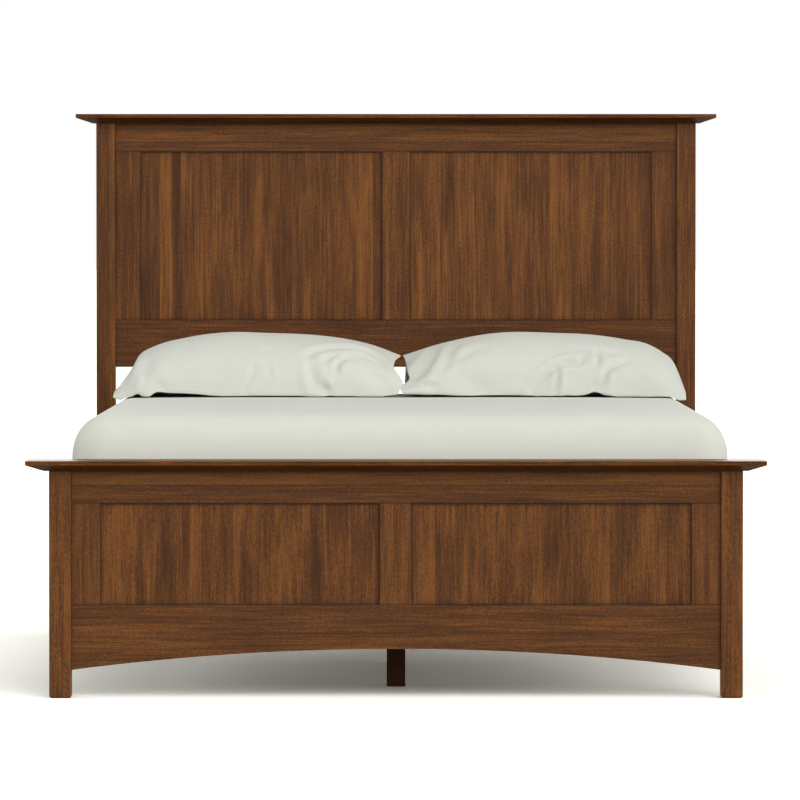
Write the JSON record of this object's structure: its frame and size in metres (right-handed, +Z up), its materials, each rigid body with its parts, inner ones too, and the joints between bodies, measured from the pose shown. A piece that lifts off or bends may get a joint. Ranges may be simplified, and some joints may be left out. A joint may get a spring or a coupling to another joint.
{
  "type": "panel bed",
  "caption": "Panel bed: framed headboard and low arched footboard under bevelled caps, hook-on side rails, slats over a legged centre rail, mattress and pillows.",
  "frame": {"origin": "on the floor under the middle of the bed's overall box", "axes": "+Z up, +Y from the footboard towards the headboard, +X to the right of someone who faces the bed from its foot"},
  "size_m": [1.719, 2.261, 1.403],
  "materials": {
    "walnut_stain": "walnut-brown stain under a satin lacquer",
    "slat_poplar": "planed, unfinished",
    "dowel_beech": "unfinished",
    "plate_steel": "plain pressed steel",
    "zinc_steel": "zinc plated",
    "glide_nylon": "matte moulded nylon",
    "ticking": "knitted ticking",
    "sheet_cotton": "smooth sateen cotton",
    "pillowcase_cotton": "smooth sateen cotton"
  },
  "bodies": {
    "frame": {"cap_dowels": "dowel_beech", "centre_rail": "slat_poplar", "footboard_bottom_rail": "walnut_stain", "footboard_cap": "walnut_stain", "footboard_centre_stile": "walnut_stain", "footboard_left_panel": "walnut_stain", "footboard_left_post": "walnut_stain", "footboard_left_stile": "walnut_stain", "footboard_right_panel": "walnut_stain", "footboard_right_post": "walnut_stain", "footboard_right_stile": "walnut_stain", "footboard_top_rail": "walnut_stain", "front_centre_leg": "walnut_stain", "headboard_bottom_rail": "walnut_stain", "headboard_cap": "walnut_stain", "headboard_centre_stile": "walnut_stain", "headboard_left_panel": "walnut_stain", "headboard_left_post": "walnut_stain", "headboard_left_stile": "walnut_stain", "headboard_right_panel": "walnut_stain", "headboard_right_post": "walnut_stain", "headboard_right_stile": "walnut_stain", "headboard_top_rail": "walnut_stain", "ledger_screws": "zinc_steel", "left_ledger": "slat_poplar", "left_side_rail": "walnut_stain", "leg_bolts": "zinc_steel", "leg_inserts": "zinc_steel", "leg_nuts": "zinc_steel", "middle_centre_leg": "walnut_stain", "plate_screws": "zinc_steel", "post_slot_plates": "plate_steel", "rail_hook_plates": "plate_steel", "rear_centre_leg": "walnut_stain", "right_ledger": "slat_poplar", "right_side_rail": "walnut_stain", "slat_01": "slat_poplar", "slat_02": "slat_poplar", "slat_03": "slat_poplar", "slat_04": "slat_poplar", "slat_05": "slat_poplar", "slat_06": "slat_poplar", "slat_07": "slat_poplar", "slat_08": "slat_poplar", "slat_09": "slat_poplar", "slat_10": "slat_poplar", "slat_11": "slat_poplar", "slat_12": "slat_poplar", "slat_13": "slat_poplar", "slat_14": "slat_poplar", "slat_screws": "zinc_steel"},
    "mattress": {"mattress": "ticking", "fitted_sheet": "sheet_cotton"},
    "left_pillow": {"left_pillow": "pillowcase_cotton"},
    "right_pillow": {"right_pillow": "pillowcase_cotton"},
    "front_leveller": {"front_leveller": "glide_nylon"},
    "middle_leveller": {"middle_leveller": "glide_nylon"},
    "rear_leveller": {"rear_leveller": "glide_nylon"}
  },
  "joints": [
    {"name": "mattress_lift", "type": "slide", "parent": "frame", "child": "mattress", "axis": [0, 0, 1], "range_m": [0, 0.35]},
    {"name": "left_pillow_lift", "type": "slide", "parent": "mattress", "child": "left_pillow", "axis": [0, 0, 1], "range_m": [0, 0.3]},
    {"name": "right_pillow_lift", "type": "slide", "parent": "mattress", "child": "right_pillow", "axis": [0, 0, 1], "range_m": [0, 0.3]},
    {"name": "front_leveller_travel", "type": "slide", "parent": "frame", "child": "front_leveller", "axis": [0, 0, -1], "range_m": [0, 0.02]},
    {"name": "middle_leveller_travel", "type": "slide", "parent": "frame", "child": "middle_leveller", "axis": [0, 0, -1], "range_m": [0, 0.02]},
    {"name": "rear_leveller_travel", "type": "slide", "parent": "frame", "child": "rear_leveller", "axis": [0, 0, -1], "range_m": [0, 0.02]}
  ]
}
